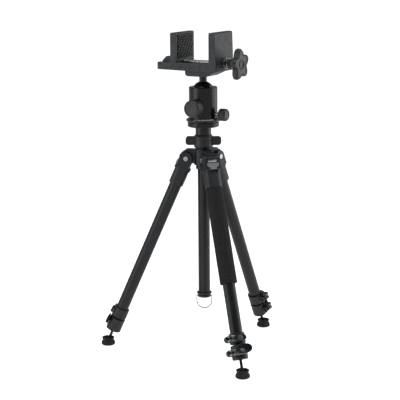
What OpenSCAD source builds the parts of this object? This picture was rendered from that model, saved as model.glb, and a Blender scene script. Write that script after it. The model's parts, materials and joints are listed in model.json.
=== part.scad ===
// Compact three-section field tripod with a ball head and a clamping saddle.
// It stands on the floor at z = 0 with its legs spread and every section pushed in.
// The saddle's rails run along X, and its fixed jaw is at the +X end.

/* [Stance] */
// Angle between each leg and the column
leg_spread = 23.6; // [20:0.1:26]
// Height of the leg hinges above the floor
hinge_height = 420; // [410:1:430]
// Distance from the column's axis to the leg hinges
hinge_radius = 35; // [35:0.5:37]
// Direction of the first leg, counted from +X
first_leg_angle = 80; // [70:1:90]

/* [Leg tubes] */
// Outer diameter of the upper tubes
upper_tube_d = 26; // [26:0.1:26.4]
// Outer diameter of the middle tubes
middle_tube_d = 22; // [21.6:0.1:22.2]
// Outer diameter of the lower tubes
lower_tube_d = 18; // [17.6:0.1:18.2]
// Wall of every leg tube
tube_wall = 1.2; // [1:0.1:1.4]
// Outer diameter of the foam grip on the front leg
grip_d = 36; // [34:0.5:38]
// Length of the foam grip
grip_length = 202; // [150:1:220]
// Diameter of the rubber feet
foot_d = 30; // [28:0.5:32]

/* [Column] */
// Outer diameter of the centre column
column_d = 25; // [24:0.1:25.4]
// Wall of the centre column
column_wall = 1.6; // [1.4:0.1:2]
// Height of the column's lower end above the floor
column_foot_z = 128; // [120:1:150]

/* [Ball head] */
// Diameter of the ball
ball_d = 47.6; // [47:0.1:48]
// Height of the ball's centre above the floor
ball_z = 559.2; // [559:0.1:560]
// Outer diameter of the housing
housing_d = 59.8; // [57:0.1:60]
// Diameter of the panning base
pan_base_d = 72; // [66:0.5:73]
// Diameter of the plate on top of the column
head_plate_d = 66; // [60:0.5:67]
// Diameter of the knob that locks the ball
ball_knob_d = 36; // [32:0.5:36]
// Diameter of the knob that locks the panning base
pan_knob_d = 26; // [22:0.5:26]

/* [Saddle] */
// Length of the jaws along Y
jaw_length = 77; // [70:0.5:80]
// Height of the jaws' top edge above the floor
jaw_top_z = 686; // [670:1:700]
// Opening between the two jaws
jaw_opening = 77.4; // [70:0.1:78]
// Diameter of the lead screw
screw_d = 10; // [9:0.1:10.4]
// Overall diameter of the star knob
star_d = 69; // [58:0.5:70]

/* [Hidden] */
$fn = 64;

// Fits: running clearance on the radius, and the free gap between bodies.
run = 0.05;
gap = 0.4;

// Leg directions, foot positions and the column's axis. The origin is the centre of
// the footprint's bounding box, so the axis is moved off it.
leg_angles = [for (i = [0:2]) first_leg_angle + 120 * i];
foot_pivot_z = 9;
leg_length = (hinge_height - foot_pivot_z) / cos(leg_spread);
foot_reach = hinge_radius + leg_length * sin(leg_spread);
foot_xs = [for (a = leg_angles) foot_reach * cos(a)];
foot_ys = [for (a = leg_angles) foot_reach * sin(a)];
axis_x = -(max(foot_xs) + min(foot_xs)) / 2;
axis_y = -(max(foot_ys) + min(foot_ys)) / 2;

// Leg hinge.
pin_d = 6;
lug_w = 20;
lug_r = 16.2;
cheek_in = lug_w / 2 + gap;
cheek_out = 18.1;
cheek_r = 13;
yoke_floor = 24;
yoke_end = 61;
tube_top = 27;

// Stations along a leg, measured from its hinge.
upper_clamp_top = 366;
upper_clamp_end = 388;
upper_tube_end = 380;
middle_tube_top = 75;
lower_clamp_top = 391;
lower_clamp_end = 420;
middle_tube_end = 406;
lower_tube_top = 90;
lower_tube_end = 417;
clamp_wall = 3.4;
ear_y = -20;
ear_r = 7;
ear_x = 6.5;
lever_pin_x = 13;
barrel_d = 6;
bolt_d = 4;

// Column and its lock.
shoulder_top = 438.5;
collar_z = 441.6;
collar_top = 470;
neck_z = 470.4;
plate_z = 487;
plate_top = 496;
bail_z = column_foot_z - 8.5;
bail_angle = 27;
bush_d = 29;
collar_spigot_r = 16;

// Ball head.
pan_z = 496;
pan_top = 505;
housing_z = 505.3;
housing_top = 571;
spigot_r = 15;
spigot_top = 520;
seat_z = 524.5;
seat_top = 543;
cavity_r = ball_d / 2 + gap;
spindle_r = 5;
pan_spindle_r = 4;
mouth_r = 21.3;
stem_r = 8;
stem_top = 593.6;
ball_knob_z = 529;
ball_knob_h = 22;
pan_knob_z = 514;
pan_knob_h = 17;
stud_d = 9.5;

// Saddle: stations along X and heights.
rail_x0 = -87.5;
fixed_jaw_x = 34.4;
fixed_jaw_end = 51;
sliding_jaw_x = fixed_jaw_x - jaw_opening;
sliding_jaw_t = 13.5;
rail_w = 12;
frame_z = 605;
rail_top = 622.5;
web_t = 4;
boss_z = 594;
screw_z = 621.5;
screw_x0 = -86;
washer_r = 10.5;
knob_hub_x = 62;
knob_x = 78;
knob_end = 92;
pad_z0 = 630;
pad_z1 = 681;
pad_w = 66;
pad_t = 3.5;
pad_seat = 2;

// ---------- placing ----------

// The column's axis at floor level.
module on_axis() {
    translate([axis_x, axis_y, 0]) children();
}

// A leg's own frame: hinge at the origin, +X outward, and the leg runs down -Z.
module on_leg(i) {
    on_axis()
        rotate([0, 0, leg_angles[i]])
            translate([hinge_radius, 0, hinge_height])
                rotate([0, -leg_spread, 0])
                    children();
}

// Under a foot: the sole's centre on the floor, +X outward.
module on_foot(i) {
    on_axis()
        rotate([0, 0, leg_angles[i]])
            translate([foot_reach, 0, 0])
                children();
}

// ---------- shared shapes ----------

// A rectangle of w by d with round corners of radius r, centred.
module round_rect(w, d, r) {
    square([w - 2 * r, d], center = true);
    square([w, d - 2 * r], center = true);
    for (x = [-1, 1], y = [-1, 1])
        translate([x * (w / 2 - r), y * (d / 2 - r)]) circle(r);
}

// A cylinder along X from x0 to x1.
module rod_x(r, x0, x1) {
    translate([x0, 0, 0]) rotate([0, 90, 0]) cylinder(r = r, h = x1 - x0);
}

// A cylinder along Y from y0 to y1.
module rod_y(r, y0, y1) {
    translate([0, y0, 0]) rotate([-90, 0, 0]) cylinder(r = r, h = y1 - y0);
}

// A tube down a leg from station s0 to s1.
module leg_tube(d, s0, s1) {
    translate([0, 0, -s1])
        difference() {
            cylinder(d = d, h = s1 - s0);
            translate([0, 0, -1]) cylinder(d = d - 2 * tube_wall, h = s1 - s0 + 2);
        }
}

// A knob along +Z with scallops round its rim and a dished face.
module scalloped_knob(d, h, n, bite) {
    difference() {
        union() {
            cylinder(d1 = d - 2, d2 = d, h = 1);
            translate([0, 0, 1]) cylinder(d = d, h = h - 2);
            translate([0, 0, h - 1]) cylinder(d1 = d, d2 = d - 2, h = 1);
        }
        for (i = [0:n - 1])
            rotate([0, 0, i * 360 / n])
                translate([d / 2 + bite * 0.4, 0, 2]) cylinder(r = bite, h = h - 4, $fn = 24);
        translate([0, 0, h - 0.8]) cylinder(d = d - 9, h = 1);
    }
}

// ---------- shoulder and column ----------

// One arm's outline in its radial plane, hinge at the origin, with the angle notches.
module arm_outline() {
    notch = 2.4;
    difference() {
        union() {
            translate([15 - hinge_radius, -11])
            square([hinge_radius - 13, shoulder_top - hinge_height + 11]);
            circle(lug_r);
        }
        for (a = [-17, 11, 39])
            rotate(a) translate([lug_r - notch, -2]) square([notch + 2, 4]);
    }
}

module shoulder() {
    hub_r = 20;
    boss_r = 16;
    boss_z0 = 397;
    skirt_z = 406;
    color("#26282b") on_axis() difference() {
        union() {
            translate([0, 0, skirt_z]) cylinder(r = hub_r, h = shoulder_top - skirt_z);
            translate([0, 0, boss_z0]) cylinder(r = boss_r, h = skirt_z - boss_z0);
            translate([0, 0, shoulder_top]) cylinder(r = collar_spigot_r, h = 13);
            for (a = leg_angles)
                rotate([0, 0, a])
                    translate([hinge_radius, lug_w / 2, hinge_height])
                        rotate([90, 0, 0]) linear_extrude(lug_w) arm_outline();
        }
        translate([0, 0, boss_z0 - 1]) cylinder(d = bush_d, h = 60);
        for (a = leg_angles)
            rotate([0, 0, a])
                translate([hinge_radius, 0, hinge_height]) rod_y(pin_d / 2, -lug_w, lug_w);
    }
}

// Slotted bolts through the three leg hinges.
module leg_hinge_bolts() {
    head = 2.2;
    head_r = 4.9;
    slot_w = 1.2;
    slot_depth = 0.7;
    x = cheek_out + 0.2;
    color("#c9ccce") on_axis()
        for (a = leg_angles)
            rotate([0, 0, a]) translate([hinge_radius, 0, hinge_height]) difference() {
                union() {
                    rod_y(pin_d / 2, -x - head, x + head);
                    rod_y(head_r, x, x + head);
                    rod_y(head_r, -x - head, -x);
                }
                for (side = [-1, 1])
                    translate([0, side * (x + head), 0])
                        cube([3 * head_r, 2 * slot_depth, slot_w], center = true);
            }
}

// Nylon guide in the shoulder; its three keys run in the column's grooves.
module column_bush() {
    bush_z0 = 397.5;
    bush_h = 53;
    color("#1b1b1c") on_axis() translate([0, 0, bush_z0]) {
        difference() {
            cylinder(d = bush_d, h = bush_h);
            translate([0, 0, -1]) cylinder(r = column_d / 2 + run, h = bush_h + 2);
        }
        for (a = leg_angles)
            rotate([0, 0, a + 60])
                translate([column_d / 2 - 0.5, -1.2, 0]) cube([1.2, 2.4, bush_h]);
    }
}

// Twist collar with two wings that locks the column.
module column_lock_collar() {
    collar_r = 20;
    wing_span = 75;
    wing_h = 17.6;
    wing_t = 13;
    wing_z = 15.2;
    wing_angle = 27;
    bevel_low = 3;
    bevel_high = 4;
    h = collar_top - collar_z;
    color("#232526") on_axis() translate([0, 0, collar_z]) difference() {
        union() {
            cylinder(r1 = collar_r - 2.5, r2 = collar_r, h = bevel_low);
            translate([0, 0, bevel_low]) cylinder(r = collar_r, h = h - bevel_low - bevel_high);
            translate([0, 0, h - bevel_high]) cylinder(r1 = collar_r, r2 = collar_r - 3, h = bevel_high);
            rotate([90, 0, wing_angle])
                translate([0, wing_z, -wing_t / 2])
                    linear_extrude(wing_t) round_rect(wing_span, wing_h, 6);
        }
        translate([0, 0, -1]) cylinder(r = collar_spigot_r + 0.1, h = 12);
        cylinder(r = column_d / 2 + 0.1, h = h + 1);
    }
}

module column_tube() {
    top_z = plate_z - 1;
    h = top_z - column_foot_z;
    groove_w = 2.8;
    groove_d = 0.8;
    color("#1d1f22") on_axis() translate([0, 0, column_foot_z]) difference() {
        cylinder(d = column_d, h = h);
        translate([0, 0, -1]) cylinder(d = column_d - 2 * column_wall, h = h + 2);
        for (a = leg_angles)
            rotate([0, 0, a + 60])
                translate([column_d / 2 - groove_d, -groove_w / 2, -1])
                    cube([groove_d + 1, groove_w, h + 2]);
    }
}

// Plug with two rings at the column's lower end.
module column_end_cap() {
    z = column_foot_z;
    plug_r = column_d / 2 - column_wall;
    color("#18191a") on_axis() difference() {
        translate([0, 0, z])
            rotate_extrude()
                polygon([[0, 12], [plug_r, 12], [plug_r, 0], [15.5, 0], [16, -0.5], [16, -3],
                    [15.5, -3.5], [12.5, -4], [12.5, -6], [14, -6.6], [14, -10.4], [13.2, -11],
                    [0, -11]]);
        translate([0, 0, bail_z]) rotate([0, 0, bail_angle]) rod_x(1.4, -20, 20);
    }
}

// Wire bail for hanging a weight; it swings in the end cap.
module weight_hook() {
    wire_r = 1.3;
    half = 16;
    drop = 12;
    color("#c9ccce") on_axis() translate([0, 0, bail_z]) rotate([0, 0, bail_angle]) {
        for (side = [-1, 1]) {
            rotate([0, 0, side > 0 ? 0 : 180]) rod_x(wire_r, 9, half);
            translate([side * half, 0, 0]) sphere(wire_r);
            translate([side * half, 0, -drop]) cylinder(r = wire_r, h = drop);
        }
        translate([0, 0, -drop])
            rotate([90, 0, 0])
                intersection() {
                    rotate_extrude() translate([half, 0]) circle(wire_r, $fn = 24);
                    translate([0, -half, 0]) cube([3 * half, 2 * half, 4 * wire_r], center = true);
                }
    }
}

// Neck and plate on top of the column.
module head_plate() {
    neck_r = 16.5;
    color("#222427") on_axis() difference() {
        union() {
            translate([0, 0, neck_z]) cylinder(r = neck_r, h = plate_z - neck_z);
            translate([0, 0, plate_z]) cylinder(d1 = head_plate_d - 3, d2 = head_plate_d, h = 1.5);
            translate([0, 0, plate_z + 1.5]) cylinder(d = head_plate_d, h = 2.5);
            translate([0, 0, plate_z + 4]) cylinder(d = head_plate_d - 2, h = 1);
            translate([0, 0, plate_z + 5]) cylinder(d = head_plate_d, h = plate_top - plate_z - 5);
        }
        translate([0, 0, neck_z - 1]) cylinder(d = column_d, h = plate_z - neck_z);
        cylinder(d = stud_d, h = plate_top + 1);
    }
}

// Threaded stud that holds the head on the plate.
module head_stud() {
    color("#b5b8ba") on_axis() translate([0, 0, plate_z]) cylinder(d = stud_d, h = pan_top - plate_z);
}

// ---------- ball head ----------

module pan_base() {
    color("#25272a") on_axis() difference() {
        union() {
            translate([0, 0, pan_z]) cylinder(d = 58, h = 2.2);
            translate([0, 0, pan_z + 2.2]) cylinder(d1 = pan_base_d - 3, d2 = pan_base_d, h = 2);
            translate([0, 0, pan_z + 4.2]) cylinder(d = pan_base_d, h = 2.3);
            translate([0, 0, pan_z + 6.5])
                cylinder(d1 = pan_base_d, d2 = pan_base_d - 7, h = pan_top - pan_z - 6.5);
            translate([0, 0, pan_top]) cylinder(r = spigot_r, h = spigot_top - pan_top);
        }
        translate([0, 0, pan_z - 1]) cylinder(d = stud_d, h = pan_top - pan_z + 1);
    }
}

// Barrel that holds the ball, with a drop notch at the back for the stem.
module head_housing() {
    h = housing_top - housing_z;
    notch_r = stem_r + 0.6;
    color("#1e2023") on_axis() difference() {
        union() {
            translate([0, 0, housing_z]) cylinder(d1 = housing_d - 2, d2 = housing_d, h = 1);
            translate([0, 0, housing_z + 1]) cylinder(d = housing_d, h = h - 2.2);
            translate([0, 0, housing_top - 1.2]) cylinder(d1 = housing_d, d2 = housing_d - 2.4, h = 1.2);
        }
        translate([0, 0, housing_z - 1]) cylinder(r = spigot_r + run, h = spigot_top + 0.5 - housing_z + 1);
        translate([0, 0, seat_z]) cylinder(r = cavity_r, h = ball_z - seat_z);
        translate([0, 0, ball_z]) sphere(cavity_r);
        translate([0, 0, ball_z]) cylinder(r = mouth_r, h = 40);
        translate([0, 0, ball_z]) rod_y(notch_r, 0, housing_d);
        translate([-notch_r, 0, ball_z]) cube([2 * notch_r, housing_d, 40]);
        translate([0, 0, ball_knob_z]) rod_y(spindle_r + run, -housing_d, 0);
        translate([0, 0, pan_knob_z]) rod_x(pan_spindle_r + run, 0, housing_d);
    }
}

// Cup that presses on the ball from below.
module ball_seat() {
    color("#b08d57") on_axis() difference() {
        translate([0, 0, seat_z]) cylinder(r = cavity_r, h = seat_top - seat_z);
        translate([0, 0, ball_z]) sphere(ball_d / 2 + run);
        translate([0, 0, seat_z - 1]) cylinder(r = 10, h = 30);
    }
}

module ball_lock_spindle() {
    color("#b5b8ba") on_axis() translate([0, 0, ball_knob_z]) rod_y(spindle_r, -40, -cavity_r - gap);
}

module ball_lock_knob() {
    start = 30.6;
    color("#2a2c2e") on_axis() translate([0, -start, ball_knob_z]) rotate([90, 0, 0]) difference() {
        scalloped_knob(ball_knob_d, ball_knob_h, 18, 1.6);
        translate([0, 0, -1]) cylinder(r = spindle_r, h = 41 - start);
    }
}

module pan_lock_spindle() {
    color("#b5b8ba") on_axis() translate([0, 0, pan_knob_z]) rod_x(pan_spindle_r, spigot_r + gap, 48);
}

module pan_lock_knob() {
    knob_x0 = 40;
    color("#2a2c2e") on_axis() translate([knob_x0, 0, pan_knob_z]) rotate([0, 90, 0]) difference() {
        scalloped_knob(pan_knob_d, pan_knob_h, 14, 1.4);
        translate([0, 0, -1]) cylinder(r = pan_spindle_r, h = 49 - knob_x0);
    }
}

// Ball with its stem.
module ball_stem() {
    color("#141516") on_axis() difference() {
        union() {
            translate([0, 0, ball_z]) sphere(d = ball_d);
            translate([0, 0, ball_z]) cylinder(r = stem_r, h = stem_top - ball_z);
        }
        translate([0, 0, stem_top - 12]) cylinder(d = stud_d, h = 13);
    }
}

// Threaded stud between the stem and the saddle.
module saddle_stud() {
    color("#b5b8ba") on_axis() translate([0, 0, stem_top - 12]) cylinder(d = stud_d, h = 24);
}

// ---------- saddle ----------

// The boss under the rails, seen from the front: x to the right, z up.
module boss_outline() {
    corner_r = 7;
    polygon([[-28, frame_z + 3], [-28, boss_z + corner_r], [-28 + corner_r, boss_z], [20, boss_z],
        [44, frame_z], [44, frame_z + 3]]);
    translate([-28 + corner_r, boss_z + corner_r]) circle(corner_r);
}

// The fixed jaw seen from the front.
module fixed_jaw_outline() {
    top_x = fixed_jaw_end - 2;
    polygon([[fixed_jaw_x, frame_z], [fixed_jaw_end - 1.5, frame_z], [fixed_jaw_end, frame_z + 1.5],
        [fixed_jaw_end, rail_top], [top_x, jaw_top_z - 2], [top_x - 2, jaw_top_z],
        [fixed_jaw_x + 2, jaw_top_z], [fixed_jaw_x, jaw_top_z - 2]]);
}

// Extrudes a front view along Y, centred.
module along_y(w) {
    translate([0, w / 2, 0]) rotate([90, 0, 0]) linear_extrude(w) children();
}

// A slanted panel sunk into a rail's outer face.
module rail_panel(x, w) {
    slant = 7;
    depth = 0.7;
    for (side = [-1, 1])
        translate([x, side * jaw_length / 2, 0])
            along_y(2 * depth)
                polygon([[0, frame_z + 5], [w, frame_z + 5], [w + slant, rail_top - 3],
                    [slant, rail_top - 3]]);
}

// A rail or the web from the front: the underside rises towards the free end.
module rail_outline(top) {
    rise = 2.4;
    polygon([[rail_x0, frame_z + rise], [fixed_jaw_x + 2, frame_z], [fixed_jaw_x + 2, top],
        [rail_x0, top]]);
}

// Rails, web, boss and fixed jaw in one casting.
module saddle_frame() {
    boss_w = 54;
    color("#2a2d31") on_axis() difference() {
        union() {
            along_y(jaw_length - 2) rail_outline(frame_z + web_t);
            for (side = [-1, 1])
                translate([0, side * (jaw_length - rail_w) / 2, 0])
                    along_y(rail_w) rail_outline(rail_top);
            along_y(boss_w) boss_outline();
            along_y(jaw_length) fixed_jaw_outline();
            translate([0, 0, screw_z]) rod_x(12, fixed_jaw_end - 3, fixed_jaw_end + 2.6);
        }
        translate([0, 0, boss_z - 1]) cylinder(r = stud_d / 2 + run, h = 13.4);
        translate([0, 0, screw_z]) rod_x(screw_d / 2 + run, fixed_jaw_x - 1, fixed_jaw_end + 4);
        translate([fixed_jaw_x - 1, -pad_w / 2, pad_z0]) cube([1 + pad_seat, pad_w, pad_z1 - pad_z0]);
        for (x = [-58, -36, -14, 8])
            rail_panel(x, 16);
    }
}

// A rubber jaw pad with its front at x.
module jaw_pad(x) {
    translate([x, -pad_w / 2, pad_z0]) cube([pad_t, pad_w, pad_z1 - pad_z0]);
}

module fixed_jaw_pad() {
    color("#101011") on_axis() jaw_pad(fixed_jaw_x + pad_seat - pad_t);
}

module sliding_jaw_pad() {
    color("#101011") on_axis() jaw_pad(sliding_jaw_x - pad_seat);
}

// The sliding jaw with the foot that runs between the rails.
module sliding_jaw() {
    back = sliding_jaw_x - sliding_jaw_t;
    foot_x = -82.5;
    foot_w = jaw_length - 2 * rail_w - 2 * gap;
    foot_z = frame_z + web_t + gap;
    low = rail_top + gap;
    color("#2a2d31") on_axis() difference() {
        union() {
            along_y(jaw_length)
                polygon([[back - 1.5, low], [sliding_jaw_x, low], [sliding_jaw_x, jaw_top_z - 4],
                    [sliding_jaw_x - 2, jaw_top_z - 2], [back + 2, jaw_top_z - 2], [back, jaw_top_z - 4],
                    [back, low + 6]]);
            along_y(foot_w)
                polygon([[foot_x, foot_z], [sliding_jaw_x - 1, foot_z], [sliding_jaw_x - 1, low + 11],
                    [foot_x + 9, low + 11], [foot_x, low + 2]]);
        }
        translate([0, 0, screw_z]) rod_x(screw_d / 2 + 0.2, foot_x - 1, 0);
        translate([0, 0, screw_z]) rod_x(9, foot_x - 1, foot_x + 17);
        translate([sliding_jaw_x - pad_seat, -pad_w / 2, pad_z0])
            cube([1 + pad_seat, pad_w, pad_z1 - pad_z0]);
    }
}

// Brass nut in the sliding jaw's foot.
module jaw_nut() {
    color("#b08d57") on_axis() translate([0, 0, screw_z]) difference() {
        rod_x(9, -82, -65.5);
        rod_x(screw_d / 2 + run, -90, -60);
    }
}

module lead_screw() {
    color("#b5b8ba") on_axis() translate([0, 0, screw_z]) rod_x(screw_d / 2, screw_x0, knob_x + 8);
}

// Thrust washers and spacer at the knob, and the clip on the screw's far end.
module screw_washers() {
    washer_t = 1.6;
    spacer_r = 8;
    clip_r = 7;
    first = fixed_jaw_end + 2.8;
    color("#c9ccce") on_axis() translate([0, 0, screw_z]) difference() {
        union() {
            rod_x(washer_r, first, first + washer_t);
            rod_x(spacer_r, first + washer_t, knob_hub_x - washer_t);
            rod_x(washer_r, knob_hub_x - washer_t, knob_hub_x);
            rod_x(clip_r, screw_x0 + 0.8, screw_x0 + 2.2);
        }
        rod_x(screw_d / 2, screw_x0 - 2, knob_x);
    }
}

// Five-lobed hand knob.
module clamp_knob() {
    lobe_r = 9.2;
    color("#1f2123") on_axis() translate([0, 0, screw_z]) difference() {
        union() {
            rod_x(washer_r, knob_hub_x, knob_x + 1);
            translate([knob_x, 0, 0]) rotate([0, 90, 0]) linear_extrude(knob_end - knob_x) {
                circle(19);
                for (i = [0:4])
                    rotate(i * 72 + 8) {
                        translate([star_d / 2 - lobe_r, 0]) circle(lobe_r);
                        translate([0, -lobe_r + 0.8]) square([star_d / 2 - lobe_r, 2 * lobe_r - 1.6]);
                    }
            }
        }
        rod_x(screw_d / 2, knob_hub_x - 1, knob_x + 8);
        rod_x(8, knob_end - 2, knob_end + 1);
    }
}

// ---------- legs ----------

module leg_yoke(i) {
    sleeve_x = 30.5;
    sleeve_y = 35;
    rim_x = 34.5;
    rim_y = 37;
    color("#1d1f21") on_leg(i) difference() {
        union() {
            translate([0, 0, -yoke_end])
                linear_extrude(yoke_end - yoke_floor) round_rect(sleeve_x, sleeve_y, 13);
            translate([0, 0, -yoke_floor - 3])
                linear_extrude(5) round_rect(rim_x, rim_y, 13);
            for (side = [-1, 1])
                translate([0, side * (cheek_in + cheek_out) / 2, 0]) {
                    rod_y(cheek_r, (cheek_in - cheek_out) / 2, (cheek_out - cheek_in) / 2);
                    translate([-cheek_r, (cheek_in - cheek_out) / 2, -yoke_floor])
                        cube([2 * cheek_r, cheek_out - cheek_in, yoke_floor]);
                }
        }
        rod_y(pin_d / 2 + run, -20, 20);
        translate([0, 0, -yoke_end - 1]) cylinder(d = upper_tube_d, h = yoke_end - tube_top + 1);
        translate([4.5, -cheek_in, -yoke_floor]) cube([20, 2 * cheek_in, 8]);
        translate([12, -8, -33]) cube([12, 16, 18]);
    }
}

// Spring latch that meets the shoulder's angle notches; it is pulled down the leg.
module angle_latch(i) {
    plate_x = 13.5;
    plate_t = 3.6;
    color("#8d9194") on_leg(i) {
        translate([plate_x, 0, 0]) rotate([90, 0, 90]) linear_extrude(plate_t) {
            polygon([[-13, -10.5], [13, -10.5], [11, -18.6], [-11, -18.6]]);
            translate([-7, -24]) square([14, 8]);
        }
        translate([5.5, -9.6, -20]) cube([plate_x - 5, 19.2, 3.4]);
    }
}

module upper_tube(i) {
    color("#1b1d1f") on_leg(i) leg_tube(upper_tube_d, tube_top, upper_tube_end);
}

module middle_tube(i) {
    color("#26282b") on_leg(i) leg_tube(middle_tube_d, middle_tube_top, middle_tube_end);
}

module lower_tube(i) {
    color("#26282b") on_leg(i) leg_tube(lower_tube_d, lower_tube_top, lower_tube_end);
}

// A split collar with two ears, its tension bolt and the barrel that the lever turns on.
// The outer tube is held down to station s_tube, and the inner one slides through the rest.
module tube_clamp(s0, s1, s_tube, outer_d, inner_d) {
    r = upper_tube_d / 2 + clamp_wall;
    mid = (s0 + s1) / 2;
    color("#17181a") difference() {
        union() {
            translate([0, 0, -s1]) cylinder(r1 = r - 1, r2 = r, h = 1);
            translate([0, 0, 1 - s1]) cylinder(r = r, h = s1 - s0 - 1);
            translate([0, ear_y, -mid]) rod_x(ear_r, -ear_x, ear_x);
            translate([-ear_x, ear_y, -mid - ear_r]) cube([2 * ear_x, -ear_y - 12, 2 * ear_r]);
        }
        translate([0, 0, -s_tube]) cylinder(d = outer_d, h = s_tube - s0 + 1);
        translate([0, 0, -s1 - 1]) cylinder(r = inner_d / 2 + run, h = s1 - s_tube + 2);
        translate([-2, ear_y - 10, -s1 - 1]) cube([4, 20, s1 - s0 + 2]);
        translate([0, ear_y, -mid]) rod_x(bolt_d / 2 + 0.1, -10, 10);
    }
    color("#c9ccce") translate([0, ear_y, -mid]) {
        rod_x(bolt_d / 2, -ear_x - 1, lever_pin_x);
        rod_x(4, -ear_x - 2.5, -ear_x - 0.1);
        translate([lever_pin_x, 0, -7.5]) cylinder(d = barrel_d, h = 15);
    }
}

// The clamp's cam lever: an eye on the barrel, a strap round the collar and an oval paddle.
// The paddle is w wide and h tall, and its middle is rise above the clamp's.
module clamp_lever(s0, s1, w, h, rise) {
    inner_r = upper_tube_d / 2 + clamp_wall + 0.7;
    strap_t = 2.6;
    strap_h = 10;
    strap_y = 13;
    paddle_t = 3.4;
    paddle_y0 = -14;
    mid = (s0 + s1) / 2;
    eye_r = 6;
    eye_slot = 5;
    color("#3a3d40") translate([0, 0, -mid]) difference() {
        union() {
            translate([lever_pin_x, ear_y, -6.5]) cylinder(r = eye_r, h = 13);
            difference() {
                union() {
                    intersection() {
                        translate([0, 0, -strap_h / 2]) cylinder(r = inner_r + strap_t, h = strap_h);
                        translate([5, -strap_y, -h]) cube([20, 2 * strap_y, 2 * h]);
                    }
                    translate([12.5, ear_y + 1, -5.5]) cube([5.5, 13, 11]);
                }
                translate([0, 0, -h]) cylinder(r = inner_r, h = 2 * h);
            }
            translate([inner_r + 0.3, paddle_y0 + w / 2, rise])
                rotate([90, 0, 90]) linear_extrude(paddle_t) round_rect(w, h, h / 2 - 0.1);
        }
        translate([lever_pin_x, ear_y, -10]) cylinder(r = barrel_d / 2 + run, h = 20);
        translate([lever_pin_x, ear_y, -eye_slot / 2]) cylinder(r = eye_r + 1, h = eye_slot);
    }
}

module upper_clamp(i) {
    on_leg(i) tube_clamp(upper_clamp_top, upper_clamp_end, upper_tube_end, upper_tube_d, middle_tube_d);
}

module lower_clamp(i) {
    on_leg(i) tube_clamp(lower_clamp_top, lower_clamp_end, middle_tube_end, middle_tube_d, lower_tube_d);
}

module upper_lever(i) {
    on_leg(i) clamp_lever(upper_clamp_top, upper_clamp_end, 27, 14, 0);
}

module lower_lever(i) {
    on_leg(i) clamp_lever(lower_clamp_top, lower_clamp_end, 36, 20, 6);
}

// Plug in the lower tube, the foot's steel rod and its ball.
module foot_stem(i) {
    rod_r = 3;
    ball_r = 4.6;
    plug = 20;
    color("#9fa3a6") on_leg(i) {
        translate([0, 0, -lower_tube_end])
            cylinder(d = lower_tube_d - 2 * tube_wall, h = plug);
        translate([0, 0, -leg_length]) cylinder(r = rod_r, h = leg_length - lower_tube_end + 1);
        translate([0, 0, -leg_length]) sphere(ball_r);
    }
}

// Rubber foot that swivels on the stem's ball, with an open cup round the rod.
module rubber_foot(i) {
    r = foot_d / 2;
    color("#1a1b1c") on_foot(i) difference() {
        rotate_extrude()
            polygon([[0, 0], [r - 2.6, 0], [r - 0.7, 1.6], [r, 4], [r - 0.2, 6.4], [r - 1.6, 9],
                [r - 3.2, 11.4], [r - 2.9, 13], [r - 1.7, 14.6], [r - 1.5, 16.4], [r - 2.4, 17.5],
                [r - 4.2, 17.5], [r - 8.2, 11], [4.7, 9.8], [0, 9.8]]);
        translate([0, 0, foot_pivot_z]) sphere(4.6 + run);
    }
}

// Foam sleeve on the front leg's upper tube.
module foam_grip() {
    r = grip_d / 2;
    top = yoke_end + 0.6;
    color("#2b2b2c") on_leg(2) translate([0, 0, -top - grip_length])
        rotate_extrude()
            polygon([[upper_tube_d / 2, 0], [r - 2, 0], [r, 2], [r, grip_length - 2],
                [r - 2, grip_length], [upper_tube_d / 2, grip_length]]);
}

// ---------- the nodes ----------

shoulder();
leg_hinge_bolts();
column_bush();
column_lock_collar();
column_tube();
column_end_cap();
weight_hook();
head_plate();
head_stud();
pan_base();
head_housing();
ball_seat();
ball_lock_spindle();
ball_lock_knob();
pan_lock_spindle();
pan_lock_knob();
ball_stem();
saddle_stud();
saddle_frame();
fixed_jaw_pad();
sliding_jaw();
sliding_jaw_pad();
jaw_nut();
lead_screw();
screw_washers();
clamp_knob();
foam_grip();
for (i = [0:2]) {
    leg_yoke(i);
    angle_latch(i);
    upper_tube(i);
    upper_clamp(i);
    upper_lever(i);
    middle_tube(i);
    lower_clamp(i);
    lower_lever(i);
    lower_tube(i);
    foot_stem(i);
    rubber_foot(i);
}
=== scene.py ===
"""A compact field tripod with a ball head and a padded clamping saddle, in a plain studio."""
import json
import math

import bmesh
import bpy
from mathutils import Matrix, Vector


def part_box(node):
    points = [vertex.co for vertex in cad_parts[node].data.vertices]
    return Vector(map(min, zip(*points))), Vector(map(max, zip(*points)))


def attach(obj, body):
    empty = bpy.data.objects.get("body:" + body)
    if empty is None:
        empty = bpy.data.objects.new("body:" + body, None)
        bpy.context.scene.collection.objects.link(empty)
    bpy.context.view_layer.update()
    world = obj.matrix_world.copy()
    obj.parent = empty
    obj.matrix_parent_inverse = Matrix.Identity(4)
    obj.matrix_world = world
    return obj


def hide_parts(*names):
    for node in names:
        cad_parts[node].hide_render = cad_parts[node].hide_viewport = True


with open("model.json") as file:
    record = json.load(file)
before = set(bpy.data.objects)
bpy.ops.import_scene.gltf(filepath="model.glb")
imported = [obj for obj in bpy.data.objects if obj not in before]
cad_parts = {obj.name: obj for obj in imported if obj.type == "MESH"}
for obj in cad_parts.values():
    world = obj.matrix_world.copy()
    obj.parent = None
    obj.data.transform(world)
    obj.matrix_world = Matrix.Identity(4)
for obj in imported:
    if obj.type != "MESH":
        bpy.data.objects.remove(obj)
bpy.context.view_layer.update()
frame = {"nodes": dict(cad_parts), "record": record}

LEGS = (1, 2, 3)
GRIP_LEG = 3
JOINTS = {joint["name"]: joint for joint in frame["record"]["behaviour"]["joints"]}
UP = Vector((0, 0, 1))
RIGHT = Vector((1, 0, 0))
FRONT = Vector((0, -1, 0))


# ---------- places, from the frame ----------

def middle(node):
    """The centre of a node's box."""
    low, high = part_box(node)
    return (Vector(low) + Vector(high)) / 2


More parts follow.
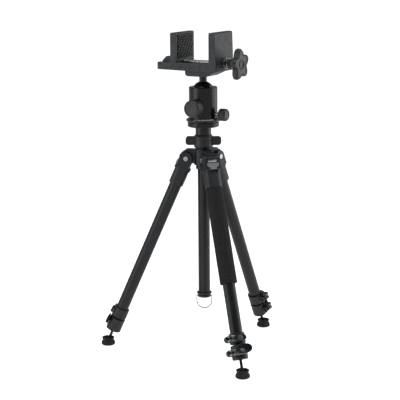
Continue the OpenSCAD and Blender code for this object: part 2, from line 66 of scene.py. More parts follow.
def size(node):
    """The width, depth and height of a node's box."""
    low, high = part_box(node)
    return Vector(high) - Vector(low)


def aim(origin, z_axis, x_axis):
    """A frame at origin with the given Z axis, and X as near x_axis as it can be."""
    z = z_axis.normalized()
    y = z.cross(x_axis).normalized()
    x = y.cross(z)
    turned = Matrix((x, y, z)).transposed()
    return Matrix.Translation(origin) @ turned.to_4x4()


def leg_frame(leg):
    """Origin at the leg's hinge, Z up the leg, and X outward."""
    hinge = Vector(JOINTS[f"leg_{leg}_spread"]["pos_m"])
    foot = Vector(JOINTS[f"foot_{leg}_swivel"]["pos_m"])
    down = foot - hinge
    outward = Vector((down.x, down.y, 0))
    return aim(hinge, -down, outward)


AXIS = Vector((middle("column_tube").x, middle("column_tube").y, 0))


# ---------- camera, floor and light ----------

CAMERA_AZIMUTH = math.radians(29.05)
CAMERA_DISTANCE = 2.789
CAMERA_HEIGHT = 0.876
CAMERA_TILT = math.radians(11.1)
CAMERA_YAW = math.radians(0.165)
CAMERA_ROLL = math.radians(-0.38)
CAMERA_LENS = 120.15
FLOOR_RADIUS = 60
FLOOR_GLOW = 0.85
FLOOR_CAST = 0.25
ROOM_WHITE = 0.30
ROOM_DARK = 0.03


def around(azimuth, distance, height):
    """A point round the column's axis, with azimuth 0 in front of the saddle's long side."""
    return AXIS + Vector((distance * math.sin(azimuth), -distance * math.cos(azimuth), height))


def add_camera():
    data = bpy.data.cameras.new("camera")
    data.lens = CAMERA_LENS
    data.sensor_width = 36
    camera = bpy.data.objects.new("camera", data)
    bpy.context.scene.collection.objects.link(camera)
    heading = Matrix.Rotation(CAMERA_AZIMUTH + CAMERA_YAW, 4, "Z")
    tilt = Matrix.Rotation(math.pi / 2 - CAMERA_TILT, 4, "X")
    roll = Matrix.Rotation(CAMERA_ROLL, 4, "Z")
    place = Matrix.Translation(around(CAMERA_AZIMUTH, CAMERA_DISTANCE, CAMERA_HEIGHT))
    camera.matrix_world = place @ heading @ tilt @ roll
    bpy.context.scene.camera = camera


def add_softbox(name, side, distance, height, width, tall, power, target):
    """A large area light at an angle beside the camera, aimed at a height on the axis."""
    data = bpy.data.lights.new(name, "AREA")
    data.shape = "RECTANGLE"
    data.size = width
    data.size_y = tall
    data.energy = power
    light = bpy.data.objects.new(name, data)
    bpy.context.scene.collection.objects.link(light)
    light.location = around(CAMERA_AZIMUTH + math.radians(side), distance, height)
    towards = AXIS + Vector((0, 0, target)) - light.location
    light.rotation_euler = towards.to_track_quat("-Z", "Y").to_euler()


def add_floor():
    """A wide sheet of white paper, bright enough to meet the background without a seam."""
    bm = bmesh.new()
    bmesh.ops.create_circle(bm, cap_ends=True, segments=64, radius=FLOOR_RADIUS)
    mesh = bpy.data.meshes.new("floor")
    bm.to_mesh(mesh)
    bm.free()
    floor = bpy.data.objects.new("floor", mesh)
    bpy.context.scene.collection.objects.link(floor)
    white = bpy.data.materials.new("floor_paper")
    white.use_nodes = True
    shader = white.node_tree.nodes["Principled BSDF"]
    shader.inputs["Base Color"].default_value = (0.9, 0.9, 0.9, 1)
    shader.inputs["Roughness"].default_value = 1.0
    shader.inputs["Specular IOR Level"].default_value = 0.0
    shader.inputs["Emission Color"].default_value = (1, 1, 1, 1)
    path = white.node_tree.nodes.new("ShaderNodeLightPath")
    glow = white.node_tree.nodes.new("ShaderNodeMapRange")
    glow.inputs["To Min"].default_value = FLOOR_CAST
    glow.inputs["To Max"].default_value = FLOOR_GLOW
    white.node_tree.links.new(path.outputs["Is Camera Ray"], glow.inputs["Value"])
    white.node_tree.links.new(glow.outputs["Result"], shader.inputs["Emission Strength"])
    mesh.materials.append(white)


def add_world():
    """A white studio that is dark only on the side where the camera stands."""
    world = bpy.data.worlds.new("studio")
    world.use_nodes = True
    bpy.context.scene.world = world
    tree = world.node_tree
    room = tree.nodes["Background"]
    room.inputs["Color"].default_value = (1, 1, 1, 1)
    direction = tree.nodes.new("ShaderNodeTexCoord").outputs["Generated"]
    facing = tree.nodes.new("ShaderNodeVectorMath")
    facing.operation = "DOT_PRODUCT"
    facing.inputs[1].default_value = (math.sin(CAMERA_AZIMUTH), -math.cos(CAMERA_AZIMUTH), 0.1)
    tree.links.new(direction, facing.inputs[0])
    shade = tree.nodes.new("ShaderNodeMapRange")
    shade.interpolation_type = "SMOOTHSTEP"
    shade.inputs["From Min"].default_value = 0.25
    shade.inputs["From Max"].default_value = 0.85
    shade.inputs["To Min"].default_value = ROOM_WHITE
    shade.inputs["To Max"].default_value = ROOM_DARK
    tree.links.new(facing.outputs["Value"], shade.inputs["Value"])
    tree.links.new(shade.outputs["Result"], room.inputs["Strength"])
    white = tree.nodes.new("ShaderNodeBackground")
    white.inputs["Color"].default_value = (1, 1, 1, 1)
    path = tree.nodes.new("ShaderNodeLightPath")
    mix = tree.nodes.new("ShaderNodeMixShader")
    tree.links.new(path.outputs["Is Camera Ray"], mix.inputs["Fac"])
    tree.links.new(room.outputs["Background"], mix.inputs[1])
    tree.links.new(white.outputs["Background"], mix.inputs[2])
    tree.links.new(mix.outputs["Shader"], tree.nodes["World Output"].inputs["Surface"])


# ---------- materials ----------

class Surface:
    """A Principled material whose colour, roughness and relief come from noise in the object's own space."""

    def __init__(self, name, roughness, metallic=0.0, edge=0.0005):
        self.material = bpy.data.materials.new(name)
        self.material.use_nodes = True
        self.tree = self.material.node_tree
        self.shader = self.tree.nodes["Principled BSDF"]
        self.shader.inputs["Roughness"].default_value = roughness
        self.shader.inputs["Metallic"].default_value = metallic
        self.space = self.tree.nodes.new("ShaderNodeTexCoord").outputs["Object"]
        self.rounding = self.add("ShaderNodeBevel", samples=4)
        self.rounding.inputs["Radius"].default_value = edge
        self.normal = self.rounding.outputs["Normal"]

    def add(self, kind, **settings):
        node = self.tree.nodes.new(kind)
        for key, value in settings.items():
            setattr(node, key, value)
        return node

    def link(self, source, target):
        self.tree.links.new(source, target)

    def set(self, **values):
        """Constant values, straight onto the shader's sockets."""
        for key, value in values.items():
            self.shader.inputs[key.replace("_", " ")].default_value = value
        return self

    def noise(self, grain, detail=4.0, stretch=(1, 1, 1)):
        """Noise whose features are about grain metres wide."""
        mapping = self.add("ShaderNodeMapping")
        mapping.inputs["Scale"].default_value = stretch
        self.link(self.space, mapping.inputs["Vector"])
        node = self.add("ShaderNodeTexNoise")
        node.inputs["Scale"].default_value = 1 / grain
        node.inputs["Detail"].default_value = detail
        self.link(mapping.outputs["Vector"], node.inputs["Vector"])
        return node.outputs["Fac"]

    def cells(self, grain):
        """Rounded cells about grain metres wide."""
        node = self.add("ShaderNodeTexVoronoi")
        node.inputs["Scale"].default_value = 1 / grain
        self.link(self.space, node.inputs["Vector"])
        return node.outputs["Distance"]

    def spread(self, source, low, high, start=0.3, end=0.7):
        """The source's values from start to end, spread from low to high."""
        node = self.add("ShaderNodeMapRange")
        node.inputs["From Min"].default_value = start
        node.inputs["From Max"].default_value = end
        node.inputs["To Min"].default_value = low
        node.inputs["To Max"].default_value = high
        self.link(source, node.inputs["Value"])
        return node.outputs["Result"]

    def math(self, operation, a, b):
        node = self.add("ShaderNodeMath", operation=operation)
        for socket, value in zip(node.inputs, (a, b)):
            if isinstance(value, (int, float)):
                socket.default_value = value
            else:
                self.link(value, socket)
        return node.outputs["Value"]

    def blend(self, factor, first, second):
        """A colour between two, each a colour or another node's output."""
        node = self.add("ShaderNodeMix", data_type="RGBA")
        self.link(factor, node.inputs["Factor"])
        for socket, value in ((node.inputs[6], first), (node.inputs[7], second)):
            if isinstance(value, tuple):
                socket.default_value = (*value, 1)
            else:
                self.link(value, socket)
        return node.outputs[2]

    def edges(self, breakup):
        """1 on outer edges that rub bare, and 0 on flat faces."""
        flat = self.add("ShaderNodeNewGeometry").outputs["Normal"]
        dot = self.add("ShaderNodeVectorMath", operation="DOT_PRODUCT")
        self.link(self.rounding.outputs["Normal"], dot.inputs[0])
        self.link(flat, dot.inputs[1])
        bent = self.spread(dot.outputs["Value"], 1, 0, 0.86, 0.97)
        return self.math("MULTIPLY", bent, breakup)

    def relief(self, height, depth, strength=1.0):
        """Bumps of the given depth in metres."""
        bump = self.add("ShaderNodeBump")
        bump.inputs["Distance"].default_value = depth
        bump.inputs["Strength"].default_value = strength
        self.link(height, bump.inputs["Height"])
        self.link(self.normal, bump.inputs["Normal"])
        self.normal = bump.outputs["Normal"]

    def done(self, colour, roughness):
        self.link(colour, self.shader.inputs["Base Color"])
        self.link(roughness, self.shader.inputs["Roughness"])
        self.link(self.normal, self.shader.inputs["Normal"])
        return self.material


def coated(name, dark, light, worn, roughness, grain, depth, metallic=0.0, wear=0.5, edge=0.0005,
           **constants):
    """Painted, anodised or moulded parts: fine grain, cloudy tone, and edges rubbed lighter."""
    surface = Surface(name, roughness, metallic, edge).set(**constants)
    cloud = surface.noise(0.03, 5)
    fine = surface.noise(grain, 3)
    body = surface.blend(surface.spread(cloud, 0, 1), dark, light)
    rubbed = surface.edges(surface.spread(surface.noise(0.006), 0, wear, 0.35, 0.65))
    colour = surface.blend(rubbed, body, worn)
    rough = surface.spread(surface.noise(0.009, 6), roughness - 0.06, roughness + 0.08)
    surface.relief(fine, depth)
    return surface.done(colour, rough)


def bare_metal(name, dark, light, roughness, grain=0.0009):
    """Turned or plated metal, with fine scratches and dull patches."""
    surface = Surface(name, roughness, 1.0, 0.0003)
    scratches = surface.noise(grain, 6, (1, 1, 7))
    patches = surface.noise(0.008, 4)
    colour = surface.blend(surface.spread(patches, 0, 1), dark, light)
    rough = surface.spread(scratches, roughness - 0.07, roughness + 0.1)
    surface.relief(scratches, 0.00002)
    return surface.done(colour, rough)


def foam(name):
    """Closed-cell foam rubber: matt, with small open pores."""
    surface = Surface(name, 0.92, 0.0, 0.0008).set(Specular_IOR_Level=0.25)
    pores = surface.cells(0.0011)
    lumps = surface.noise(0.0028, 5)
    colour = surface.blend(surface.spread(lumps, 0, 1), (0.011, 0.011, 0.012), (0.026, 0.026, 0.027))
    rough = surface.spread(pores, 0.98, 0.82, 0.0, 0.6)
    surface.relief(pores, 0.0003)
    surface.relief(lumps, 0.0004, 0.6)
    return surface.done(colour, rough)


def rubber(name, dark, light, roughness):
    """Moulded rubber: matt, dusty in patches, with a fine orange-peel skin."""
    surface = Surface(name, roughness, 0.0, 0.0006).set(Specular_IOR_Level=0.35)
    dust = surface.noise(0.007, 7)
    skin = surface.noise(0.0007, 3)
    colour = surface.blend(surface.spread(dust, 0, 1, 0.4, 0.75), dark, light)
    rough = surface.spread(dust, roughness - 0.05, min(roughness + 0.15, 1))
    surface.relief(skin, 0.00006)
    return surface.done(colour, rough)


MATERIALS = {
    "tube_black": coated("tube_black", (0.008, 0.009, 0.011), (0.014, 0.016, 0.019), (0.05, 0.055, 0.06),
                         0.34, 0.0012, 0.00001, 0.2, 0.4),
    "casting_black": coated("casting_black", (0.009, 0.010, 0.012), (0.020, 0.022, 0.026),
                            (0.07, 0.075, 0.08), 0.42, 0.0006, 0.00005, 0.1, 0.5, 0.0009),
    "head_black": coated("head_black", (0.003, 0.0033, 0.004), (0.007, 0.0075, 0.009),
                         (0.07, 0.075, 0.08), 0.24, 0.0005, 0.000008, 0.15, 0.5, 0.0006),
    "ball_black": coated("ball_black", (0.004, 0.004, 0.0045), (0.008, 0.008, 0.009),
                         (0.03, 0.03, 0.03), 0.2, 0.0008, 0.000006, 0.1, 0.2, 0.0004),
    "saddle_grey": coated("saddle_grey", (0.011, 0.0135, 0.0165), (0.021, 0.025, 0.030),
                          (0.11, 0.12, 0.125), 0.46, 0.0008, 0.00008, 0.0, 0.6, 0.0012),
    "plastic_black": coated("plastic_black", (0.008, 0.0085, 0.009), (0.016, 0.017, 0.018),
                            (0.04, 0.04, 0.042), 0.4, 0.0005, 0.00004, 0.0, 0.4, 0.0008),
    "knob_black": coated("knob_black", (0.010, 0.011, 0.012), (0.024, 0.026, 0.028),
                         (0.07, 0.075, 0.08), 0.38, 0.0005, 0.00004, 0.0, 0.5, 0.0008),
    "lever_dark": coated("lever_dark", (0.022, 0.025, 0.028), (0.045, 0.050, 0.055),
                         (0.30, 0.31, 0.32), 0.26, 0.0006, 0.00002, 0.6, 0.6, 0.0009),
    "lever_metal": coated("lever_metal", (0.20, 0.21, 0.22), (0.34, 0.35, 0.36), (0.6, 0.61, 0.62),
                          0.28, 0.0007, 0.00002, 0.9, 0.6, 0.0007),
    "latch_grey": coated("latch_grey", (0.16, 0.17, 0.18), (0.26, 0.27, 0.28),
                         (0.5, 0.5, 0.5), 0.4, 0.0006, 0.00004, 0.2, 0.5, 0.0008),
    "rod_black": coated("rod_black", (0.012, 0.012, 0.013), (0.028, 0.028, 0.030), (0.16, 0.16, 0.165),
                        0.3, 0.0007, 0.00001, 0.6, 0.5),
    "pad_rubber": rubber("pad_rubber", (0.006, 0.006, 0.0065), (0.022, 0.023, 0.024), 0.32),
    "foot_rubber": rubber("foot_rubber", (0.009, 0.009, 0.0095), (0.035, 0.034, 0.033), 0.66),
    "paddle_gloss": coated("paddle_gloss", (0.018, 0.021, 0.024), (0.034, 0.038, 0.042),
                           (0.30, 0.31, 0.32), 0.16, 0.0006, 0.000006, 0.5, 0.5, 0.0006),
    "foam_black": foam("foam_black"),
    # Pale marking colour; on the pan base's ticks it also serves as a painted highlight.
    "mark_white": coated("mark_white", (0.50, 0.51, 0.50), (0.62, 0.63, 0.62), (0.7, 0.7, 0.7),
                         0.5, 0.0004, 0.00001),
    "steel": bare_metal("steel", (0.42, 0.43, 0.44), (0.66, 0.67, 0.68), 0.27),
    "brass": bare_metal("brass", (0.42, 0.27, 0.10), (0.62, 0.43, 0.18), 0.33),
}


def paint(obj, slot):
    """The slot's material on every face of an object."""
    if obj.data.materials:
        for index in range(len(obj.data.materials)):
            obj.data.materials[index] = MATERIALS[slot]
    else:
        obj.data.materials.append(MATERIALS[slot])


def paint_cad_nodes():
    for part in frame["record"]["subparts"]:
        paint(frame["nodes"][part["node"]], part["material_slot"])


# ---------- building pieces ----------

MM = 0.001


def rounded(corners, steps=4, closed=False):
    """An outline through (x, y, radius) corners, with each corner rounded by its radius."""
    points = []
    last = len(corners) - 1
    for index, (x, y, radius) in enumerate(corners):
        here = Vector((x, y))
        if radius == 0 or (not closed and index in (0, last)):
            points.append(here)
            continue
        before = here + (Vector(corners[index - 1][:2]) - here).normalized() * radius
        after = here + (Vector(corners[(index + 1) % len(corners)][:2]) - here).normalized() * radius
        for step in range(steps + 1):
            t = step / steps
            points.append(before.lerp(here, t).lerp(here.lerp(after, t), t))
    return points


def loft(bm, rings, caps=True):
    """A skin over rings of points, closed at both ends."""
    made = [[bm.verts.new(point) for point in ring] for ring in rings]
    count = len(made[0])
    for low, high in zip(made, made[1:]):
        for index in range(count):
            other = (index + 1) % count
            bm.faces.new((low[index], low[other], high[other], high[index]))
    if caps:
        bm.faces.new(tuple(reversed(made[0])))
        bm.faces.new(tuple(made[-1]))


def turn(bm, profile, segments=96, shape=None):
    """A profile of (radius, height) in mm turned about Z. shape may change the radius by angle and height."""
    rings = []
    for radius, height in profile:
        ring = []
        for index in range(segments):
            angle = 2 * math.pi * index / segments
            reach = shape(angle, radius, height) if shape else radius
            ring.append(Vector((reach * math.cos(angle), reach * math.sin(angle), height)) * MM)
        rings.append(ring)
    loft(bm, rings)


def block(bm, corners, low, high, bevel=0.0):
    """A plate from height low to high with an outline of (x, y, radius) corners in mm, its top edge eased."""
    outline = rounded(corners, 4, closed=True)
    centre = sum(outline, Vector((0, 0))) / len(outline)
    rings = []
    for inset, height in ((0, low), (0, high - bevel), (0.3 * bevel, high - 0.3 * bevel), (bevel, high)):
        ring = []
        for point in outline:
            inward = (centre - point).normalized() * inset
            ring.append(Vector((point.x + inward.x, point.y + inward.y, height)) * MM)
        rings.append(ring)
    loft(bm, rings if bevel else [rings[0], rings[-1]])


def piece(name, bm, slot, body, place, nodes=(), crease=35, finish=None):
    """A finished object from a bmesh made in the frame place. It rides on body and stands for the nodes.
    finish is its material where that isn't the slot's own."""
    bmesh.ops.transform(bm, matrix=place, verts=bm.verts)
    bmesh.ops.recalc_face_normals(bm, faces=bm.faces)
    mesh = bpy.data.meshes.new(name)
    bm.to_mesh(mesh)
    bm.free()
    mesh.shade_smooth()
    mesh.set_sharp_from_angle(angle=math.radians(crease))
    mesh.materials.append(MATERIALS[finish or slot])
    made = bpy.data.objects.new(name, mesh)
    bpy.context.scene.collection.objects.link(made)
    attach(made, body)
    if nodes:
        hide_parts(*nodes)
    return made


# ---------- saddle ----------

def clipped(points, half_width, half_height):
    """A convex outline cut off at a rectangle's sides."""
    sides = ((0, 1, half_width), (0, -1, half_width), (1, 1, half_height), (1, -1, half_height))
    for axis, side, limit in sides:
        kept = []
        for here, after in zip(points, points[1:] + points[:1]):
            inside = limit - side * here[axis]
            beyond = limit - side * after[axis]
            if inside >= 0:
                kept.append(here)
            if inside * beyond < 0:
                kept.append(here.lerp(after, inside / (inside - beyond)))
        points = kept
    return points


def add_jaw_pad(name, node, body, facing):
    """A rubber pad with a raised diamond tread on its gripping face."""
    extent = size(node) / MM
    half_width, half_height, thickness = extent.y / 2, extent.z / 2, extent.x
    pitch_x, pitch_y = 11.4, 10.4
    lean = 0.45 if facing.x < 0 else -0.45
    half_x, half_y = 0.41 * pitch_x, 0.41 * pitch_y
    tread = 1.5
    lip = 1.6
    bm = bmesh.new()
    corner = 1.2
    base = [(x * half_width, y * half_height, corner) for x, y in ((-1, -1), (1, -1), (1, 1), (-1, 1))]
    block(bm, base, 0, thickness - tread, 0.3)
    columns = math.ceil((half_width + abs(lean) * half_height) / pitch_x)
    rows = math.ceil(half_height / pitch_y)
    for row in range(-2 * rows, 2 * rows + 1):
        for column in range(-columns, columns + 1):
            x = (column + 0.5 * (row % 2)) * pitch_x
            y = row * pitch_y / 2
            corners = ((x + half_x, y), (x, y + half_y), (x - half_x, y), (x, y - half_y))
            diamond = [Vector((across + lean * up, up)) for across, up in corners]
            foot = clipped(diamond, half_width - lip, half_height - lip)
            if len(foot) < 3:
                continue
            centre = sum(foot, Vector((0, 0))) / len(foot)
            if max((point - centre).length for point in foot) < 1.6:
                continue
            rings = []
            for inset, height in ((0.0, thickness - tread - 0.3), (0.12, thickness - 0.35), (0.3, thickness)):
                drawn = [point.lerp(centre, inset) for point in foot]
                rings.append([Vector((point.x, point.y, height)) * MM for point in drawn])
            loft(bm, rings)
    low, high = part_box(node)
    back = middle(node)
    back.x = low[0] if facing.x > 0 else high[0]
    piece(name, bm, "pad_rubber", body, aim(back, facing, Vector((0, 1, 0))), [node], 30)


def add_rail_ribs():
    """Slanted ribs along the sides of both rails."""
    low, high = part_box("saddle_frame")
    boss_depth = 11
    rib_bottom = boss_depth + 5
    rib_top = boss_depth + 14.5
    panel = 16
    slant = 7
    for side, facing in (("front", FRONT), ("back", -FRONT)):
        origin = Vector((AXIS.x, low[1] if side == "front" else high[1], low[2]))
        sign = 1 if side == "front" else -1
        bm = bmesh.new()
        for start in (-58, -36, -14, 8):
            for edge in (start, start + panel):
                rings = []
                for inset, out in ((0.7, -0.5), (0.7, 0.15), (0.3, 0.35)):
                    ring = [(edge - inset, rib_bottom), (edge + inset, rib_bottom),
                            (edge + slant + inset, rib_top), (edge + slant - inset, rib_top)]
                    rings.append([Vector((sign * x, y, out)) * MM for x, y in ring])
                loft(bm, rings)
        place = aim(origin, facing, sign * RIGHT)
        piece(f"rail_ribs_{side}", bm, "saddle_grey", "saddle", place, (), 30)


def add_scale_with_highlight():
    """Pale degree ticks on the sloping shoulder of the panning base, drawn only on the arc that faces the
    camera: part degree scale, part painted highlight where the chamfer reflects the light.
    """
    rim_top = 6.5
    spacing = 4.5
    base_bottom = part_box("pan_base")[0][2]
    centre = middle("pan_base")
    radius = size("pan_base").x / 2 / MM - 1.75
    shoulder_top = (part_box("head_housing")[0][2] - base_bottom) / MM
    level = (rim_top + shoulder_top) / 2
    bm = bmesh.new()
    # White ticks only on the camera-facing arc: a stretch of degree scale that also serves as a painted
    # highlight.
    for mark in range(-5, 12):
        angle = CAMERA_AZIMUTH - math.pi / 2 + math.radians(spacing * mark - 12)
        tall = 1.8 if mark % 2 else 2.6
        along = Vector((math.cos(angle), math.sin(angle), 0))
        across = UP.cross(along)
        ring = []
        for step, out in ((-0.9, -0.8), (0.9, -0.8), (0.9, 0.3), (-0.9, 0.3)):
            ring.append(across * step + along * (radius + out))
        loft(bm, [[(point + UP * (level - tall / 2) + along * tall / 2) * MM for point in ring],
                  [(point + UP * (level + tall / 2) - along * tall / 2) * MM for point in ring]])
    place = Matrix.Translation((centre.x, centre.y, base_bottom))
    piece("scale_ticks_highlight", bm, "head_black", "column", place, (), 35, "mark_white")


def add_washer_sleeve():
    """The dark sleeve between the two thrust washers at the knob."""
    frame_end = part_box("saddle_frame")[1][0]
    knob_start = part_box("clamp_knob")[0][0]
    centre = middle("lead_screw")
    washer = 1.8
    length = (knob_start - frame_end) / MM - 2 * washer
    bm = bmesh.new()
    turn(bm, rounded([(8.1, 0, 0), (9.7, 0, 0.3), (9.7, length, 0.3), (8.1, length, 0)]), 64)
    place = aim(Vector((frame_end + washer * MM, centre.y, centre.z)), RIGHT, UP)
    piece("washer_sleeve", bm, "steel", "screw", place, (), 40, "plastic_black")


def add_clamp_knob():
    """Five-lobed star knob with a dished face, on a hub."""
    centre = middle("clamp_knob")
    low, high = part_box("clamp_knob")
    length = (high[0] - low[0]) / MM
    radius = size("clamp_knob").z / 2 / MM * 1.02
    star_start = length - 14
    hub_r = 10.5

    def lobes(angle, reach, height):
        wave = 0.5 + 0.5 * math.cos(5 * angle)
        hollow = 0.44 * (1 - wave ** 0.8) * (reach / radius) ** 2
        return reach * (1 - hollow)

    bm = bmesh.new()
    hub = rounded([(hub_r - 0.8, 0, 0), (hub_r, 0.8, 0.5), (hub_r, star_start - 2, 2),
                   (hub_r + 3, star_start + 1, 0)])
    turn(bm, hub, 64)
    star = rounded([(hub_r, star_start, 0), (radius - 3, star_start, 2), (radius, star_start + 3.5, 2),
                    (radius, length - 3.5, 2), (radius - 3, length, 1.6), (radius - 6, length, 1.2),
                    (radius - 9, length - 1.6, 1.5), (11.5, length - 1.6, 1), (10.5, length, 0.8),
                    (8.6, length, 0.5), (8, length - 2, 0.4), (0.5, length - 2, 0)], 5)
    turn(bm, star, 160, lobes)
    place = aim(Vector((low[0], centre.y, centre.z)), RIGHT, UP)
    piece("clamp_star_knob", bm, "knob_black", "screw", place @ Matrix.Rotation(math.radians(8), 4, "Z"),
          ["clamp_knob"], 40)


def add_lead_screw():
    """Core rod with a rolled thread."""
    low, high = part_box("lead_screw")
    centre = middle("lead_screw")
    outer = size("lead_screw").y / 2 / MM
    length = (high[0] - low[0]) / MM
    depth = 0.9
    root = outer - depth - 0.2
    pitch = 5.0
    steps = 20
    bm = bmesh.new()
    turn(bm, rounded([(outer - depth - 1, 0, 0), (outer - depth, 1, 0.4), (outer - depth, length, 0)]), 48)
    rings = []
    for step in range(round((length - 8) / pitch * steps)):
        angle = 2 * math.pi * step / steps
        height = 3 + pitch * step / steps
        ring = []
        for reach, along in ((root, -1.5), (outer, -0.7), (outer, 0.7), (root, 1.5)):
            ring.append(Vector((reach * math.cos(angle), reach * math.sin(angle), height + along)) * MM)
        rings.append(ring)
    loft(bm, rings)
    piece("threaded_screw", bm, "steel", "screw", aim(Vector((low[0], centre.y, centre.z)), RIGHT, UP),
          ["lead_screw"], 30)


# ---------- ball head ----------

def add_fluted_knob(name, node, body, facing, flutes, bite):
    """A turned knob with a fluted grip, a chamfer and a dished face."""
    radius = size(node).z / 2 / MM
    height = abs(size(node).dot(facing)) / MM
    back = middle(node) - facing * height / 2 * MM

    def grip(angle, reach, level):
        if reach < radius - 0.6 or not 2 < level < height - 3.4:
            return reach
        return reach - bite * (0.5 - 0.5 * math.cos(flutes * angle)) ** 2

    bm = bmesh.new()
    profile = rounded([(0.45 * radius, 0, 0), (radius - 1.6, 0, 0.8), (radius, 1.6, 0.5), (radius, 2.6, 0),
                       (radius, height - 4, 0), (radius, height - 2.6, 0.6), (radius - 2.4, height, 0.5),
                       (radius - 4.0, height, 0.4), (radius - 4.6, height - 0.9, 0.3),
                       (0.3, height - 0.9, 0)])
    turn(bm, profile, flutes * 8, grip)
    piece(name, bm, "knob_black", body, aim(back, facing, UP), [node], 32)


# ---------- legs ----------

CLAMP_RADIUS = 16.4
BARREL = Vector((13.0, -20.0))
FOOT_RADIUS = 15
GRIP_TOP = 61.6
GRIP_LENGTH = 202
GRIP_RADIUS = 18
TUBE_RADIUS = 13
LUG_RADIUS = 16.2


def superellipse(half_x, half_y, count=24, power=0.7):
    """Points round an oval that is a little squarer than an ellipse."""
    points = []
    for index in range(count):
        angle = 2 * math.pi * index / count
        x, y = math.cos(angle), math.sin(angle)
        wide = math.copysign(abs(x) ** power, x) * half_x
        tall = math.copysign(abs(y) ** power, y) * half_y
        points.append(Vector((wide, tall)))
    return points


def sweep(bm, path, half_width, half_height):
    """An oval section carried along a path of (x, y) points in mm.
    Its half width and half height are functions of the share of the path done."""
    rings = []
    last = len(path) - 1
    for index, centre in enumerate(path):
        along = (path[min(index + 1, last)] - path[max(index - 1, 0)]).normalized()
        side = Vector((along.y, -along.x))
        share = index / last
        ring = []
        for point in superellipse(half_width(share), half_height(share), 20, 0.5):
            spot = centre + side * point.x
            ring.append(Vector((spot.x, spot.y, point.y)) * MM)
        rings.append(ring)
    loft(bm, rings)


def clamp_frame(leg, kind):
    """The leg's frame, moved down to the middle of one of its lever clamps."""
    pin = Vector(JOINTS[f"{kind}_lever_{leg}_open"]["pos_m"])
    level = (leg_frame(leg).inverted() @ pin).z
    return leg_frame(leg) @ Matrix.Translation((0, 0, level))


def add_lever(leg, kind, paddle_y, paddle_rise, half_width, half_height):
    """A cam lever: two knuckles on the clamp's barrel, a strap round the collar, and a dished oval paddle."""
    body = f"{kind}_lever_{leg}"
    place = clamp_frame(leg, kind)
    inner = CLAMP_RADIUS + 0.7
    bm = bmesh.new()
    for bottom in (-6.5, 2.5):
        before = len(bm.verts)
        top = bottom + 4
        turn(bm, rounded([(3.2, bottom, 0), (6, bottom, 0.8), (6, top, 0.8), (3.2, top, 0)]), 32)
        bm.verts.ensure_lookup_table()
        bmesh.ops.translate(bm, vec=Vector((BARREL.x, BARREL.y, 0)) * MM, verts=bm.verts[before:])
    radius = inner + 1.4
    path = [Vector((15.6, -16.8)), Vector((17.0, -13.2))]
    for angle in range(-32, 41, 4):
        turned = math.radians(angle)
        path.append(Vector((radius * math.cos(turned), radius * math.sin(turned))))
    sweep(bm, path, lambda share: 1.9 - 0.6 * share, lambda share: 6.2 - 1.2 * share)
    piece(f"{kind}_lever_strap_{leg}", bm, "lever_dark", body, place, [body], 40, "lever_metal")

    bm = bmesh.new()
    rings = []
    for share, rise in ((0.90, 0.3), (1.0, 1.0), (1.0, 2.0), (0.96, 2.9), (0.89, 3.1), (0.7, 2.4),
                        (0.4, 1.9), (0.1, 1.8)):
        ring = []
        for point in superellipse(half_width * share, half_height * share, 48, 0.86):
            ring.append(Vector((inner + 0.4 + rise, point.x + paddle_y, point.y + paddle_rise)) * MM)
        rings.append(ring)
    loft(bm, rings)
    finish = "paddle_gloss" if kind == "lower" else None
    piece(f"{kind}_lever_paddle_{leg}", bm, "lever_dark", body, place, (), 50, finish)


def add_clamp_hardware(leg, kind, body):
    """The barrel the lever turns on, and the domed head of the bolt that draws the collar shut."""
    place = clamp_frame(leg, kind)
    barrel = rounded([(0.3, -7.4, 0), (2.2, -7.4, 0.6), (2.9, -6.8, 0.2), (2.9, 6.8, 0.2), (2.2, 7.4, 0.6),
                      (0.3, 7.4, 0)])
    bm = bmesh.new()
    turn(bm, barrel, 32)
    pin_place = place @ Matrix.Translation(Vector((BARREL.x, BARREL.y, 0)) * MM)
    piece(f"{kind}_clamp_barrel_{leg}", bm, "steel", body, pin_place, (), 40)
    bm = bmesh.new()
    dome = rounded([(0.3, -0.6, 0), (3.9, -0.6, 0), (4.0, 1.2, 0.5), (3.2, 2.2, 0.8), (1.8, 2.5, 0.4),
                    (1.6, 1.2, 0.2), (0.3, 1.2, 0)])
    turn(bm, dome, 40)
    head = aim(Vector((-6.5, BARREL.y, 0)) * MM, -RIGHT, UP)
    piece(f"{kind}_clamp_bolt_{leg}", bm, "steel", body, place @ head, (), 40)


def add_notch_faces(leg):
    """Bare machined teeth on the rim of a shoulder arm, between its angle notches."""
    hinge = Vector(JOINTS[f"leg_{leg}_spread"]["pos_m"])
    outward = Vector((hinge.x - AXIS.x, hinge.y - AXIS.y, 0)).normalized()
    place = aim(hinge, UP.cross(outward), outward)
    half_width = 9.2
    bm = bmesh.new()
    for start, stop in ((-12, 6), (16, 34), (44, 58)):
        rings = []
        for step in range(7):
            angle = math.radians(start + (stop - start) * step / 6)
            ring = []
            for reach, side in ((-0.6, -1), (0.12, -1), (0.3, -0.96), (0.3, 0.96), (0.12, 1), (-0.6, 1)):
                out = LUG_RADIUS + reach
                ring.append(Vector((out * math.cos(angle), out * math.sin(angle), half_width * side)) * MM)
            rings.append(ring)
        loft(bm, rings)
    piece(f"notch_faces_{leg}", bm, "steel", "shoulder", place, (), 40)


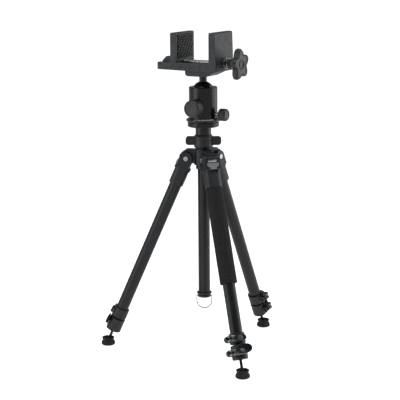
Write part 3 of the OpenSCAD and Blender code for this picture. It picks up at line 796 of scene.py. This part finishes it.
def add_foot(leg):
    """Rubber foot with a ribbed skirt, a waist and an open cup."""
    ribs = 36

    def skirt(angle, reach, height):
        if not 1.4 < height < 7.2 or reach < FOOT_RADIUS - 1.5:
            return reach
        return reach - 0.35 * (0.5 - 0.5 * math.cos(ribs * angle))

    r = FOOT_RADIUS
    profile = rounded([(1, 0, 0), (r - 2.6, 0, 1), (r, 2.2, 1), (r, 5.5, 1), (r - 0.9, 8.2, 1.0),
                       (r - 3.2, 11.4, 1.2), (r - 2.9, 13, 0.8), (r - 1.6, 14.8, 0.9), (r - 1.5, 16.6, 0.5),
                       (r - 2.6, 17.5, 0.5), (r - 4.4, 17.3, 0.6), (r - 8.2, 11, 0.6), (4.9, 9.8, 0)])
    bm = bmesh.new()
    turn(bm, profile, ribs * 4, skirt)
    pivot = Vector(JOINTS[f"foot_{leg}_swivel"]["pos_m"])
    piece(f"ribbed_foot_{leg}", bm, "foot_rubber", f"foot_{leg}", Matrix.Translation((pivot.x, pivot.y, 0)),
          [f"rubber_foot_{leg}"], 35)


def add_foam_grip():
    """Foam sleeve: soft ends, and a surface that is never quite true."""
    bm = bmesh.new()
    rows = 90
    profile = [(TUBE_RADIUS, 0), (TUBE_RADIUS + 1.5, -0.2)]
    profile += rounded([(TUBE_RADIUS + 2, 0, 0), (GRIP_RADIUS, 0, 2.6), (GRIP_RADIUS, 6, 0)], 5)[1:]
    for row in range(1, rows):
        profile.append((GRIP_RADIUS, 6 + (GRIP_LENGTH - 12) * row / rows))
    top = rounded([(GRIP_RADIUS, GRIP_LENGTH - 6, 0), (GRIP_RADIUS, GRIP_LENGTH, 2.6),
                   (TUBE_RADIUS + 2, GRIP_LENGTH, 0)], 5)
    profile += top + [Vector((TUBE_RADIUS, GRIP_LENGTH))]

    def swell(angle, reach, height):
        if reach < GRIP_RADIUS - 2:
            return reach
        slow = math.sin(3 * angle + 0.06 * height) * math.sin(0.043 * height + 1)
        return reach - 0.12 - 0.12 * slow

    turn(bm, profile, 72, swell)
    place = leg_frame(GRIP_LEG) @ Matrix.Translation(Vector((0, 0, -GRIP_TOP - GRIP_LENGTH)) * MM)
    grip = piece("foam_sleeve", bm, "foam_black", f"leg_{GRIP_LEG}", place, ["foam_grip"], 60)


add_camera()
add_world()
add_floor()
add_softbox("left_softbox", -66, 1.9, 0.75, 1.4, 2.2, 13, 0.4)
add_softbox("right_softbox", 104, 2.0, 0.75, 2.0, 2.2, 18, 0.4)
add_softbox("top_softbox", 20, 0.6, 2.3, 2.4, 2.4, 24, 0.3)
bpy.context.scene.view_settings.view_transform = "Standard"
paint_cad_nodes()

add_jaw_pad("sliding_tread_pad", "sliding_jaw_pad", "jaw", RIGHT)
add_jaw_pad("fixed_tread_pad", "fixed_jaw_pad", "saddle", -RIGHT)
add_rail_ribs()
add_washer_sleeve()
add_scale_with_highlight()
add_clamp_knob()
add_lead_screw()
add_fluted_knob("ball_lock_grip", "ball_lock_knob", "ball_lock", FRONT, 24, 0.9)
add_fluted_knob("pan_lock_grip", "pan_lock_knob", "pan_lock", RIGHT, 18, 0.8)
for leg in LEGS:
    add_lever(leg, "upper", -0.5, 0, 13.5, 7)
    add_lever(leg, "lower", 4, 6, 18, 10)
    add_clamp_hardware(leg, "upper", f"leg_{leg}")
    add_clamp_hardware(leg, "lower", f"middle_{leg}")
    add_notch_faces(leg)
    add_foot(leg)
add_foam_grip()
